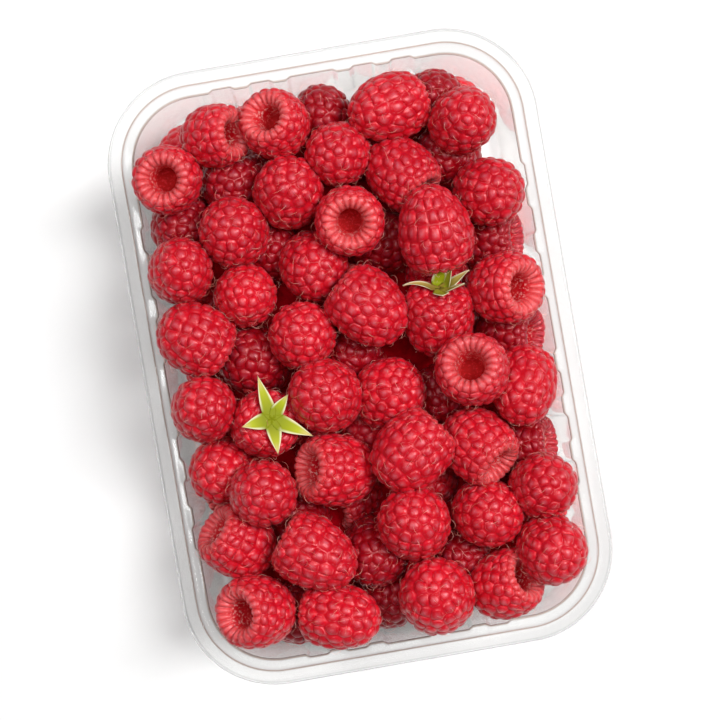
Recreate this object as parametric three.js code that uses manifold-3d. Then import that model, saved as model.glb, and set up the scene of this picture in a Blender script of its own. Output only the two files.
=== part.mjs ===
// A clear plastic punnet heaped with raspberries. Millimetres: X runs across the tray, Y along it
// and Z up. The origin is on the table, under the middle of the tray.
import * as THREE from 'three';
import { mergeVertices } from 'three/addons/utils/BufferGeometryUtils.js';
import Module from 'manifold-3d';

// Tray: a thin formed sheet with a flat rim, a ledge inside it and ribbed walls
const TRAY_WIDTH = 131;
const TRAY_LENGTH = 187;
const TRAY_HEIGHT = 40;
const SHEET = 0.6;
const RIM_CORNER_RADIUS = 28;
const RIM_FOLD = 1.0;
const LIP_DROP = 2.6;
const FLANGE_WIDTH = 4.7;
const LEDGE_DROP = 2.1;
const LEDGE_INSET = 6.95;
const LEDGE_Z = TRAY_HEIGHT - LEDGE_DROP - 0.25;
const WALL_FOOT_INSET = 10.1;
const WALL_FOOT_Z = 5;
const FLOOR_INSET = 14.6;
const RIB_DEPTH = 0.93;
const RIB_RAMP = 1.0;
const CORNER_STEPS = 6;
const SHORT_SIDE = { ribs: [9.7, 21.6], ribWidth: 5.1, cornerStart: 30.8 };
const LONG_SIDE = { ribs: [11.35, 24.8, 38.9], ribWidth: 6.2, cornerStart: 49.1 };

// Heap: the gap to the tray, how far berries dent each other, and how the hidden ones are laid out
const GAP = 0.5;
const DENT = 0.93;
const TIGHTEST = 0.84;
const REACH_SPARE = 3;
const SHOWN_EASE = 0.3;
const HIDDEN_SIZE = [19.4, 21.4];
const HIDDEN_LAYERS = [10.4, 26.5];
const HIDDEN_PITCH = [20.2, 18.2];
const HIDDEN_ROWS = 5;
const HIDDEN_COLUMNS = 3;
const HIDDEN_JITTER = 3;
const HIDDEN_STRETCH = [0.98, 1.08];
const HIDDEN_CLEARANCE = 14.5;
// A hidden berry's middle keeps this share of its radius inside the wall
const WALL_ROOM = 0.6;
const SETTLE_PASSES = 120;
const SINK_STEP = 0.12;
const PHOTO_PULL = 0.2;
const HEIGHT_PULL = 0.1;
const CORE_DEPTH = 9.5;
const CORE_BASE_Z = 5;
const CORE_TOP_Z = 37;
const CORE_SHOULDER = [7, 8];
const SHOWN_DEPTH = 16;
// Berries that show and lie higher than this have more sides
const FINE_Z = 32;
const FINE_SIDES = 10;
const ROUGH_SIDES = 8;
// Corners nearer than this are one corner. A weld can close a hollow, so it is done a few times.
const WELD = 0.002;
const WELD_ROUNDS = 3;

// Berries that show from above: x, y, height of the middle, width, length, tilt and heading of the
// tip. Tilt 0 has the tip up and 180 has the opening up; heading 0 is +X and 90 is +Y.
const SHOWN = [
  [-32, 72.5, 41, 19.3, 19.5, 126, 175], [-13, 72.5, 42, 21, 20, 153, -40], [1, 74, 30, 19.8, 20, 20, 90],
  [20.5, 72, 41, 21, 24.4, 66, 190], [35.5, 73, 30, 19, 20, 15, 40], [42.5, 64.5, 42, 20, 21, 20, 30],
  [-48, 62, 41, 21.2, 20, 171, 10], [-29, 58.5, 30, 20.4, 21, 30, 200], [-12.5, 52.5, 42, 21.8, 23, 15, 60],
  [3.5, 61, 42, 20, 21, 15, 200], [21.5, 52.5, 41, 21.2, 22, 72, 125], [28.5, 34.5, 47, 23, 25.5, 78, 215],
  [46.5, 41.5, 43, 21, 22, 18, 330], [4, 40.5, 45, 21.4, 20, 172, 80], [-48, 48, 30, 19.6, 20, 30, 250],
  [-49, 34.5, 43.5, 20, 21, 12, 30], [-31, 43.5, 42, 21.1, 22, 14, 120], [-30.5, 24, 41, 19.5, 20, 10, 10],
  [-9, 29, 37, 21, 22, 22, 300], [5.5, 13.5, 45, 22.6, 24, 80, 312], [25, 7, 41, 21.7, 23, 132, 260],
  [45.5, 13, 42, 22, 21, 140, 168], [45.5, -1, 31, 20.4, 20, 120, 170], [32.5, -10, 48, 22.3, 21, 165, -70],
  [48, -17.5, 42, 20, 23.6, 52, 250], [-48, 14, 43, 21.8, 22.5, 72, 140], [-16, 9, 42, 20.8, 21, 12, 45],
  [-32, 4.5, 32, 21.6, 22, 35, 150], [-2.5, 1.5, 28, 19.9, 20, 20, 0], [-32, -15, 42, 21, 21, 162, 204],
  [-49, -7.5, 43.5, 20, 21.5, 12, 80], [-12.5, -9.5, 45, 22.3, 23, 14, 160],
  [7.5, -12.5, 40, 21.7, 22, 30, 20], [21.5, -16, 29, 20.4, 20, 15, 90], [10, -30.5, 46, 23, 24.5, 80, 215],
  [29.5, -32, 42, 21.6, 23, 100, 128], [43.5, -35, 30, 20.4, 21, 112, 175],
  [47.5, -47.5, 43, 20.2, 21, 16, 20], [-49, -27, 36, 20.6, 21, 18, 200],
  [-35.5, -36, 44, 20.6, 22, 10, 10], [-12, -32.5, 41, 22.2, 24.6, 98, -32],
  [-27, -45.5, 30, 20.4, 21, 25, 60], [7, -51.5, 43, 22.5, 24, 18, 90],
  [30.5, -52.5, 42, 21.2, 22, 14, 330], [46, -67.5, 43, 21, 22, 20, 300],
  [-47.5, -48.5, 42, 21.6, 22.4, 98, -48], [-22.5, -56, 45, 22.2, 24.5, 84, 322],
  [-5, -60, 35, 20.9, 22, 20, 250], [10.5, -74.5, 42, 23.2, 24, 18, 100],
  [31.5, -75.5, 40, 21, 22, 112, 188], [20, -65.5, 30, 19.8, 20, 15, 0],
  [-42.5, -70, 42, 22.2, 23, 142, -8], [-19, -75.5, 41, 20.4, 24, 66, 345], [-4, -75, 29, 19.8, 20, 15, 0],
  [-32, -74, 28, 19.4, 20, 15, 0], [36.5, 56.5, 30, 20.4, 21, 20, 150], [13.5, 33, 30, 20.4, 21, 20, 30],
  [44, 28.5, 30, 20.4, 21, 112, 178], [-21, 36.5, 29, 19.2, 20, 20, 90],
];
// Places in that list of the berries that keep their green leaves
const STAR_BERRY = 29;
const SIDE_BERRY = 20;
// A tip tilted beyond this leaves the opening in sight
const OPEN_TILT = 95;

// Leaves: heading from the hub, length, width, first lift and curl of each sepal, in order round it
const LEAF_THICKNESS = 0.5;
const HUB_RADIUS = 2.4;
const LEAF_CUP = 0.35;
const LEAF_REST = 0.49;
const SEPAL_STEPS = 12;
const SEPAL_ROWS = [0.3, 0.55, 0.8];
// The share of a half wave at which a sepal's outline starts, and how full the outline is
const SEPAL_START = 0.32;
const SEPAL_FULLNESS = 0.8;
const STAR_SEPALS = [
  [-91, 10.8, 4.6, 4, -6], [-32, 13.4, 4.9, 4, -4], [48, 9, 4, 16, 10], [100, 13.6, 4.4, 4, 8],
  [186, 9.6, 4.8, 5, -8],
];
const SIDE_SEPALS = [
  [-70, 5.6, 3.8, 40, 40], [10, 10.2, 3.4, 34, -14], [58, 6.6, 2.4, 66, 4], [122, 6.8, 2.6, 64, 4],
  [172, 12.2, 3.4, 14, -30],
];

// A small seeded number maker, so that every build is the same
function seededRandom(seed) {
  let state = seed;
  return () => {
    state = (state * 16807) % 2147483647;
    return state / 2147483647;
  };
}

function between([low, high], share) {
  return low + (high - low) * share;
}

// The ring that every level of the tray shares: a point on the inner rectangle, the direction out
// of it, and whether the wall stands in there (1) or out (0)
function traySideStations({ ribs, ribWidth, cornerStart }) {
  const half = [];
  for (const middle of ribs) {
    for (const [edge, shares] of [[middle - ribWidth / 2, [0, 1]], [middle + ribWidth / 2, [1, 0]]]) {
      half.push([edge - RIB_RAMP / 2, shares[0]], [edge + RIB_RAMP / 2, shares[1]]);
    }
  }
  half.push([cornerStart - RIB_RAMP / 2, 0], [cornerStart + RIB_RAMP / 2, 1]);
  const mirrored = half.map(([along, share]) => [-along, share]).reverse();
  return [...mirrored, ...half];
}

function trayStations() {
  const reachX = TRAY_WIDTH / 2 - RIM_CORNER_RADIUS;
  const reachY = TRAY_LENGTH / 2 - RIM_CORNER_RADIUS;
  const stations = [];
  for (let side = 0; side < 4; side++) {
    const across = side % 2 === 0;
    const sideAngle = (side * Math.PI) / 2;
    const [cos, sin] = [Math.round(Math.cos(sideAngle)), Math.round(Math.sin(sideAngle))];
    const out = across ? reachX : reachY;
    const along = across ? reachY : reachX;
    const place = (step, share, angle) => stations.push({
      x: cos * out - sin * step, y: sin * out + cos * step, angle, share,
    });
    for (const [step, share] of traySideStations(across ? LONG_SIDE : SHORT_SIDE)) {
      place(step, share, sideAngle);
    }
    for (let turn = 0; turn <= CORNER_STEPS; turn++) {
      place(along, 1, sideAngle + (turn / CORNER_STEPS) * (Math.PI / 2));
    }
  }
  return stations;
}

function trayRing(stations, [inset, z, ribShare]) {
  return stations.map(({ x, y, angle, share }) => {
    const radius = RIM_CORNER_RADIUS - inset - RIB_DEPTH * ribShare * share;
    return [x + radius * Math.cos(angle), y + radius * Math.sin(angle), z];
  });
}

// The same profile one sheet thickness further out, mitred at its corners
function offsetProfile(profile, distance) {
  return profile.map(([inset, z, ribShare], index) => {
    const before = profile[Math.max(index - 1, 0)];
    const after = profile[Math.min(index + 1, profile.length - 1)];
    const first = new THREE.Vector2(z - before[1], before[0] - inset);
    const second = new THREE.Vector2(after[1] - z, inset - after[0]);
    if (index === 0) first.copy(second);
    if (index === profile.length - 1) second.set(0, -1);
    first.normalize();
    second.normalize();
    const mitre = first.clone().add(second).normalize();
    const reach = distance / mitre.dot(second);
    return [inset + mitre.x * reach, z + mitre.y * reach, ribShare];
  });
}

// A closed surface through rings of equal length, with a point at each end
function loft(startPoint, rings, endPoint) {
  const count = rings[0].length;
  const positions = [startPoint, ...rings.flat(), endPoint].flat();
  const last = rings.length * count + 1;
  const indices = [];
  for (let i = 0; i < count; i++) {
    const next = (i + 1) % count;
    indices.push(0, 1 + i, 1 + next);
    for (let level = 0; level + 1 < rings.length; level++) {
      const near = 1 + level * count;
      const far = near + count;
      indices.push(near + i, far + i, far + next, near + i, far + next, near + next);
    }
    const final = last - count;
    indices.push(last, final + next, final + i);
  }
  const geometry = new THREE.BufferGeometry();
  geometry.setAttribute('position', new THREE.Float32BufferAttribute(positions, 3));
  geometry.setIndex(indices);
  return geometry;
}

function trayGeometry() {
  const inside = [
    [0, TRAY_HEIGHT - LIP_DROP, 0],
    [0.35, TRAY_HEIGHT - 0.4, 0],
    [RIM_FOLD, TRAY_HEIGHT, 0],
    [FLANGE_WIDTH, TRAY_HEIGHT, 0],
    [FLANGE_WIDTH + 0.4, TRAY_HEIGHT - LEDGE_DROP, 0],
    [LEDGE_INSET, LEDGE_Z, 1],
    [WALL_FOOT_INSET, WALL_FOOT_Z, 1],
    [(WALL_FOOT_INSET * 2 + FLOOR_INSET) / 3, WALL_FOOT_Z * 0.4, 0.6],
    [FLOOR_INSET, SHEET, 0],
  ];
  const outside = offsetProfile(inside, SHEET);
  const stations = trayStations();
  const rings = [...inside.slice().reverse(), ...outside].map((level) => trayRing(stations, level));
  return loft([0, 0, SHEET], rings, [0, 0, 0]);
}

// How far inside the wall face, and how far above it where the ledge ends the wall, a point lies
function wallOffset(berry) {
  const x = Math.max(Math.abs(berry.x) - (TRAY_WIDTH / 2 - RIM_CORNER_RADIUS), 0);
  const y = Math.max(Math.abs(berry.y) - (TRAY_LENGTH / 2 - RIM_CORNER_RADIUS), 0);
  const wallZ = Math.min(berry.z, LEDGE_Z);
  const slope = (WALL_FOOT_INSET - LEDGE_INSET) / (LEDGE_Z - WALL_FOOT_Z);
  const inset = LEDGE_INSET + RIB_DEPTH + slope * (LEDGE_Z - wallZ);
  const out = Math.sqrt(x * x + y * y);
  return { x, y, out, inward: RIM_CORNER_RADIUS - inset - out, up: berry.z - wallZ };
}

// How far a berry reaches from its middle along a unit direction
function extent(berry, x, y, z) {
  const along = berry.tip.x * x + berry.tip.y * y + berry.tip.z * z;
  const across = Math.sqrt(Math.max(1 - along * along, 0));
  return Math.max(...berry.outline.map((point) => point.x * across + point.y * along));
}

// Moves a berry off the floor, the wall and the edge of the ledge
function keepInTray(berry) {
  berry.z = Math.max(berry.z, extent(berry, 0, 0, -1) + SHEET + GAP);
  const wall = wallOffset(berry);
  if (wall.out === 0) return;
  const distance = Math.sqrt(wall.inward * wall.inward + wall.up * wall.up);
  const outX = (Math.sign(berry.x) * wall.x) / wall.out;
  const outY = (Math.sign(berry.y) * wall.y) / wall.out;
  const level = wall.inward / distance;
  const drop = wall.up / distance;
  const push = extent(berry, outX * level, outY * level, -drop) + GAP - distance;
  if (push <= 0) return;
  berry.x -= outX * level * push;
  berry.y -= outY * level * push;
  berry.z += drop * push;
}

// Moves two berries that press too deep apart; one that shows keeps its place in plan more firmly
function pressApart(first, second) {
  const [x, y, z] = [second.x - first.x, second.y - first.y, second.z - first.z];
  const distance = Math.sqrt(x * x + y * y + z * z);
  if (distance > first.radius + second.radius + REACH_SPARE) return;
  const [toX, toY, toZ] = [x / distance, y / distance, z / distance];
  const reach = DENT * (extent(first, toX, toY, toZ) + extent(second, -toX, -toY, -toZ));
  const push = (reach - distance) / 2;
  if (push <= 0) return;
  for (const [berry, sign] of [[first, -1], [second, 1]]) {
    berry.x += sign * toX * push * berry.ease;
    berry.y += sign * toY * push * berry.ease;
    berry.z += sign * toZ * push;
  }
}

// Lets the heap come to rest: hidden berries sink, shown ones hold their place
function settle(berries) {
  for (let pass = 0; pass < SETTLE_PASSES; pass++) {
    for (let i = 0; i < berries.length; i++) {
      for (let j = i + 1; j < berries.length; j++) pressApart(berries[i], berries[j]);
    }
    for (const berry of berries) {
      if (berry.shown) {
        berry.x += (berry.shown[0] - berry.x) * PHOTO_PULL;
        berry.y += (berry.shown[1] - berry.y) * PHOTO_PULL;
        berry.z += (berry.shown[2] - berry.z) * HEIGHT_PULL;
      } else {
        berry.z -= SINK_STEP;
      }
      keepInTray(berry);
    }
  }
}

// True where a berry presses deeper into another than the rest do
function squeezed(berry, berries) {
  return berries.some((other) => other !== berry
    && Math.hypot(other.x - berry.x, other.y - berry.y, other.z - berry.z)
      < TIGHTEST * (other.radius + berry.radius));
}

// The facts that the settling needs: which way the tip points, the outline and a mean radius
function makeBerry(place, width, length, tilt, heading, shown) {
  const berry = { ...place, width, length, tilt, heading, shown, ease: shown ? SHOWN_EASE : 1 };
  berry.tip = tipDirection(berry);
  berry.fine = Boolean(shown) && place.z > FINE_Z;
  berry.outline = berryProfile(berry);
  berry.radius = (width + length) / 4;
  return berry;
}

function shownBerries() {
  return SHOWN.map(([x, y, z, width, length, tilt, heading]) => (
    makeBerry({ x, y, z }, width, length, tilt, heading, [x, y, z])
  ));
}

// Hidden berries on staggered rows below, wherever the shown ones leave room
function hiddenBerries(shown, random) {
  const hidden = [];
  HIDDEN_LAYERS.forEach((z, layer) => {
    for (let row = -HIDDEN_ROWS; row <= HIDDEN_ROWS; row++) {
      for (let column = -HIDDEN_COLUMNS; column <= HIDDEN_COLUMNS; column++) {
        const shift = (Math.abs(row) + layer) % 2 === 0 ? 0 : 0.5;
        const x = (column + shift) * HIDDEN_PITCH[0] + (random() - 0.5) * HIDDEN_JITTER;
        const y = row * HIDDEN_PITCH[1] + (random() - 0.5) * HIDDEN_JITTER;
        const width = between(HIDDEN_SIZE, random());
        const length = width * between(HIDDEN_STRETCH, random());
        const berry = makeBerry({ x, y, z }, width, length, 180 * random(), 360 * random(), null);
        const room = wallOffset(berry).inward > berry.radius * WALL_ROOM;
        const free = shown.every((other) => (
          Math.hypot(other.x - x, other.y - y, other.z - z) > HIDDEN_CLEARANCE
        ));
        if (room && free) hidden.push(berry);
      }
    }
  });
  return hidden;
}

// Half of a berry's outline, from the axis at its open end round to the tip
function berryProfile({ width, length, tilt, fine }) {
  const radius = width / 2;
  const tip = [[0, 0.5], [0.52, 0.42], [0.87, 0.18], [1, -0.08]];
  const roughTip = [[0, 0.5], [0.66, 0.34], [1, -0.02]];
  const opening = [[0.9, -0.33], [0.62, -0.48], [0.36, -0.38], [0.28, 0.05], [0, 0.08]];
  const closed = [[0.86, -0.34], [0.45, -0.48], [0, -0.48]];
  const roughEnd = [[0.7, -0.42], [0, -0.48]];
  let shape = [...roughTip, ...roughEnd];
  if (fine) shape = [...tip, ...(tilt > OPEN_TILT ? opening : closed)];
  return shape.reverse().map(([across, along]) => new THREE.Vector2(across * radius, along * length));
}

// A closed mesh as a solid, its doubled corners merged
function toSolid(wasm, geometry) {
  const bare = geometry.clone();
  bare.deleteAttribute('normal');
  bare.deleteAttribute('uv');
  const merged = mergeVertices(bare, WELD);
  const index = merged.index.array;
  const triVerts = [];
  for (let i = 0; i < index.length; i += 3) {
    const [a, b, c] = [index[i], index[i + 1], index[i + 2]];
    if (a !== b && b !== c && c !== a) triVerts.push(a, b, c);
  }
  const vertProperties = merged.attributes.position.array;
  const mesh = new wasm.Mesh({ numProp: 3, vertProperties, triVerts: new Uint32Array(triVerts) });
  return new wasm.Manifold(mesh);
}

function fromSolid(solid) {
  const { vertProperties, triVerts } = solid.getMesh();
  const geometry = new THREE.BufferGeometry();
  geometry.setAttribute('position', new THREE.BufferAttribute(vertProperties, 3));
  geometry.setIndex(new THREE.BufferAttribute(triVerts, 1));
  return geometry;
}

// The way a berry's tip points
function tipDirection({ tilt, heading }) {
  const lean = THREE.MathUtils.degToRad(tilt);
  const turn = THREE.MathUtils.degToRad(heading);
  const level = Math.sin(lean);
  return new THREE.Vector3(level * Math.cos(turn), level * Math.sin(turn), Math.cos(lean));
}

function berryGeometry(berry, spin) {
  const geometry = new THREE.LatheGeometry(berry.outline, berry.fine ? FINE_SIDES : ROUGH_SIDES);
  geometry.rotateY(spin);
  const axis = new THREE.Vector3(0, 1, 0);
  geometry.applyQuaternion(new THREE.Quaternion().setFromUnitVectors(axis, tipDirection(berry)));
  geometry.translate(berry.x, berry.y, berry.z);
  return geometry;
}

// The inside of the heap, which the berries that show are fused to
function coreGeometry() {
  const stations = [];
  const reachX = TRAY_WIDTH / 2 - RIM_CORNER_RADIUS;
  const reachY = TRAY_LENGTH / 2 - RIM_CORNER_RADIUS;
  for (let side = 0; side < 4; side++) {
    for (const turn of [0, 45, 90]) {
      const angle = THREE.MathUtils.degToRad(side * 90 + turn);
      const middle = THREE.MathUtils.degToRad(side * 90 + 45);
      const x = reachX * Math.sign(Math.cos(middle));
      const y = reachY * Math.sign(Math.sin(middle));
      stations.push({ x, y, angle, share: 0 });
    }
  }
  const inset = WALL_FOOT_INSET + CORE_DEPTH;
  const rings = [
    trayRing(stations, [inset + CORE_SHOULDER[0], CORE_TOP_Z, 0]),
    trayRing(stations, [inset, CORE_TOP_Z - CORE_SHOULDER[1], 0]),
    trayRing(stations, [inset, CORE_BASE_Z, 0]),
  ];
  return loft([0, 0, CORE_TOP_Z], rings, [0, 0, CORE_BASE_Z]);
}

// The largest body alone: sealed hollows come out filled and loose scraps go
function mainBody(wasm, solid) {
  let body = solid;
  for (let round = 0; round < WELD_ROUNDS; round++) {
    const bodies = toSolid(wasm, fromSolid(body)).decompose();
    body = bodies.reduce((best, other) => (other.volume() > best.volume() ? other : best));
  }
  return body;
}

function heapGeometry(wasm, berries, random) {
  let heap = toSolid(wasm, coreGeometry());
  for (const berry of berries) {
    const spin = random() * Math.PI * 2;
    const showsAtSide = wallOffset(berry).inward < SHOWN_DEPTH;
    if (berry.shown || showsAtSide) heap = heap.add(toSolid(wasm, berryGeometry(berry, spin)));
  }
  return fromSolid(mainBody(wasm, heap));
}

// One row across a sepal, on its upper face: right edge, midrib, left edge, and the way up there
function sepalRow([heading, length, width, lift, curl], share) {
  const turn = THREE.MathUtils.degToRad(heading);
  const stepLength = (share * (length - HUB_RADIUS)) / SEPAL_STEPS;
  let [along, rise, angle] = [HUB_RADIUS, 0, 0];
  for (let step = 0; step < SEPAL_STEPS; step++) {
    angle = THREE.MathUtils.degToRad(lift + (curl * share * step) / SEPAL_STEPS);
    along += Math.cos(angle) * stepLength;
    rise += Math.sin(angle) * stepLength;
  }
  const back = -Math.sin(angle);
  const up = new THREE.Vector3(back * Math.cos(turn), back * Math.sin(turn), Math.cos(angle));
  const middle = new THREE.Vector3(along * Math.cos(turn), along * Math.sin(turn), rise);
  const side = new THREE.Vector3(Math.sin(turn), -Math.cos(turn), 0);
  const wave = Math.sin(Math.PI * (SEPAL_START + (1 - SEPAL_START) * share));
  const half = (width / 2) * wave ** SEPAL_FULLNESS;
  const edge = middle.clone().addScaledVector(up, LEAF_CUP);
  const right = edge.clone().addScaledVector(side, half);
  const left = edge.clone().addScaledVector(side, -half);
  return { up, middle, right, left };
}

// A star of thin sepals round a hub, with both faces split into the same triangles
function sepalStarGeometry(sepals) {
  const points = [];
  const faces = [];
  const edge = [];
  const place = (position, up) => points.push([position, up]) - 1;
  const plainUp = new THREE.Vector3(0, 0, 1);
  const hub = place(new THREE.Vector3(), plainUp);
  const notches = sepals.map(([heading], index) => {
    const before = sepals[(index + sepals.length - 1) % sepals.length][0];
    const gapAngle = ((heading - before) % 360 + 360) % 360;
    const angle = THREE.MathUtils.degToRad(heading - gapAngle / 2);
    const notch = new THREE.Vector3(Math.cos(angle), Math.sin(angle), 0);
    return place(notch.multiplyScalar(HUB_RADIUS), plainUp);
  });
  sepals.forEach((sepal, index) => {
    const start = sepalRow(sepal, 0);
    let row = [notches[index], place(start.middle, plainUp), notches[(index + 1) % sepals.length]];
    faces.push([hub, row[0], row[1]], [hub, row[1], row[2]]);
    edge.push(row[0]);
    const leftEdge = [];
    for (const share of SEPAL_ROWS) {
      const { up, right, middle, left } = sepalRow(sepal, share);
      const next = [place(right, up), place(middle, up), place(left, up)];
      faces.push([row[0], next[0], next[1]], [row[0], next[1], row[1]]);
      faces.push([row[1], next[1], next[2]], [row[1], next[2], row[2]]);
      edge.push(next[0]);
      leftEdge.unshift(next[2]);
      row = next;
    }
    const tip = sepalRow(sepal, 1);
    const tipPoint = place(tip.middle, tip.up);
    faces.push([row[0], tipPoint, row[1]], [row[1], tipPoint, row[2]]);
    edge.push(tipPoint, ...leftEdge);
  });
  return thickSheet(points, faces, edge);
}

function thickSheet(points, faces, edge) {
  const count = points.length;
  const upper = points.map(([position]) => position);
  const lower = points.map(([position, up]) => position.clone().addScaledVector(up, -LEAF_THICKNESS));
  const positions = [...upper, ...lower].flatMap((point) => point.toArray());
  const indices = [];
  for (const [a, b, c] of faces) indices.push(a, b, c, a + count, c + count, b + count);
  edge.forEach((from, index) => {
    const to = edge[(index + 1) % edge.length];
    indices.push(from, from + count, to + count, from, to + count, to);
  });
  const geometry = new THREE.BufferGeometry();
  geometry.setAttribute('position', new THREE.Float32BufferAttribute(positions, 3));
  geometry.setIndex(indices);
  return geometry;
}

function plainMaterial(color, roughness, extra = {}) {
  return new THREE.MeshStandardMaterial({ color, roughness, metalness: 0, ...extra });
}

function namedMesh(name, geometry, material) {
  const mesh = new THREE.Mesh(geometry, material);
  mesh.name = name;
  return mesh;
}

// Leaves sit just clear of the end of their berry, turned the way that end points
function leaves(name, sepals, berry) {
  const mesh = namedMesh(name, sepalStarGeometry(sepals), plainMaterial('#9aa22e', 0.6));
  const outward = tipDirection(berry).negate();
  const reach = berry.length * LEAF_REST + GAP + LEAF_THICKNESS;
  mesh.position.set(berry.x, berry.y, berry.z).addScaledVector(outward, reach);
  mesh.quaternion.setFromUnitVectors(new THREE.Vector3(0, 0, 1), outward);
  return mesh;
}

const wasm = await Module();
wasm.setup();
const random = seededRandom(20260);
const shown = shownBerries();
const packed = [...shown, ...hiddenBerries(shown, random)];
settle(packed);
const berries = packed.filter((berry) => berry.shown || !squeezed(berry, packed));
settle(berries);

const punnet = new THREE.Group();
punnet.add(
  namedMesh('tray', trayGeometry(), plainMaterial('#f2f4f4', 0.12, { transparent: true, opacity: 0.35 })),
  namedMesh('berry_heap', heapGeometry(wasm, berries, random), plainMaterial('#c8283a', 0.55)),
  leaves('leaves_top', STAR_SEPALS, berries[STAR_BERRY]),
  leaves('leaves_side', SIDE_SEPALS, berries[SIDE_BERRY]),
);

export default punnet;
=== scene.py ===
# A clear plastic punnet heaped with raspberries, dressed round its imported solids. Sizes are in
# millimetres, as in the part's source, and become metres where a mesh is made.
from itertools import combinations
from math import atan2, copysign, cos, hypot, pi, radians, sin, sqrt
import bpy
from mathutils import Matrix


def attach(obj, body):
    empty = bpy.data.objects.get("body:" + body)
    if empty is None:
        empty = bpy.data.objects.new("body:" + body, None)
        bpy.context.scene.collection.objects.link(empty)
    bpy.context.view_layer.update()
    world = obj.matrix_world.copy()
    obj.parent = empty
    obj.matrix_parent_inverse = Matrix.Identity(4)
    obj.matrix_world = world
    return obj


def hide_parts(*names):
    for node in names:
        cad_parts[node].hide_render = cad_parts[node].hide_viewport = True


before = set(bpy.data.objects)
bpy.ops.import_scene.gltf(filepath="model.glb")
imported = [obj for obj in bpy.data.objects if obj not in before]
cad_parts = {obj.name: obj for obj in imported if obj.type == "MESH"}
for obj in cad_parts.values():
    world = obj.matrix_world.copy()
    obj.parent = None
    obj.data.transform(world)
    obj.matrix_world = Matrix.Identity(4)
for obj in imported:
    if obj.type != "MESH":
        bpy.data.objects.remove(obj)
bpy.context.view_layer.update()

from types import SimpleNamespace

import bmesh
import bpy
import numpy as np
from mathutils import Matrix, Vector

MM = 0.001

# Tray, the same sizes as the part's source
TRAY_WIDTH = 131
TRAY_LENGTH = 187
TRAY_HEIGHT = 40
SHEET = 0.6
# The sheet as it is seen, which the solid makes thicker
SHOWN_SHEET = 0.18
RIM_CORNER_RADIUS = 28
REACH_X = TRAY_WIDTH / 2 - RIM_CORNER_RADIUS
REACH_Y = TRAY_LENGTH / 2 - RIM_CORNER_RADIUS
RIM_FOLD = 1.0
LIP_DROP = 2.6
FLANGE_WIDTH = 4.7
LEDGE_DROP = 2.1
LEDGE_FALL = 0.25
LEDGE_INSET = 6.95
LEDGE_Z = TRAY_HEIGHT - LEDGE_DROP - LEDGE_FALL
# The ledge slopes a little more than the solid's, so that it catches the light
SHOWN_LEDGE_FALL = 0.56
WALL_FOOT_INSET = 10.1
WALL_FOOT_Z = 5
FLOOR_INSET = 14.6
RIB_DEPTH = 0.93
# Wider than the solid's, as the photograph shows
RIB_RAMP = 1.8
SHORT_SIDE = {"ribs": [9.7, 21.6], "rib_width": 5.1, "corner_start": 30.8}
LONG_SIDE = {"ribs": [11.35, 24.8, 38.9], "rib_width": 6.2, "corner_start": 49.1}
CORNER_STEPS = 20
RAMP_STEPS = 5
FOLD_RADIUS = 0.55
FOOT_RADIUS = 4.0
ARC_STEPS = 6
# An arc takes at most this share of the legs beside its corner
ARC_SHARE = 0.48
# The lip's shoulder, the flange's step, the knee above the floor and the floor's flat edge
LIP_SHOULDER = 0.35
SHOULDER_DROP = 0.4
STEP_LEAN = 0.4
FOOT_KNEE = 0.4
KNEE_RIB_SHARE = 0.6
FLOOR_EDGE = 6
# Where the painted shade and reflection on the wall start below the ledge and above the floor, and how
# soon they are full
TINT_TOP = 1.5
TINT_FOOT = 2
TINT_RISE = 4
# The corners of the profile, counted from the lip, along which thin grey or brown lines of painted
# refraction are drawn
PAINTED_LINE_DARKNESS = {1: 0.4, 2: 0.4, 3: 1, 5: 1}

# Heap, the same rules as the part's source. Berries stay the gap off the tray and press into each
# other to the dent's share of their reach, and those that show give way less to the side.
HEAP_SEED = 20260
GAP = 0.5
DENT = 0.93
REACH_SPARE = 3
SHOWN_EASE = 0.3
# A hidden berry that ends up closer to another than this share of their sizes is taken out
TIGHTEST = 0.84
# The hidden berries: widths, heights of the layers, and the pitch, count and unevenness of the rows
HIDDEN_SIZE = (19.4, 21.4)
HIDDEN_LAYERS = (10.4, 26.5)
HIDDEN_PITCH = (20.2, 18.2)
HIDDEN_ROWS = 5
HIDDEN_COLUMNS = 3
HIDDEN_JITTER = 3
HIDDEN_STRETCH = (0.98, 1.08)
HIDDEN_CLEARANCE = 14.5
WALL_ROOM = 0.6
# Settling: how far a hidden berry sinks in a pass, and how hard one that shows is drawn to its place
SETTLE_PASSES = 120
SINK_STEP = 0.12
PHOTO_PULL = 0.2
HEIGHT_PULL = 0.1
# The top layer starts at this height, and its berries lie or show their openings past these tilts
FINE_Z = 32
LYING_TILT = 40
OPEN_TILT = 95

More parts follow.
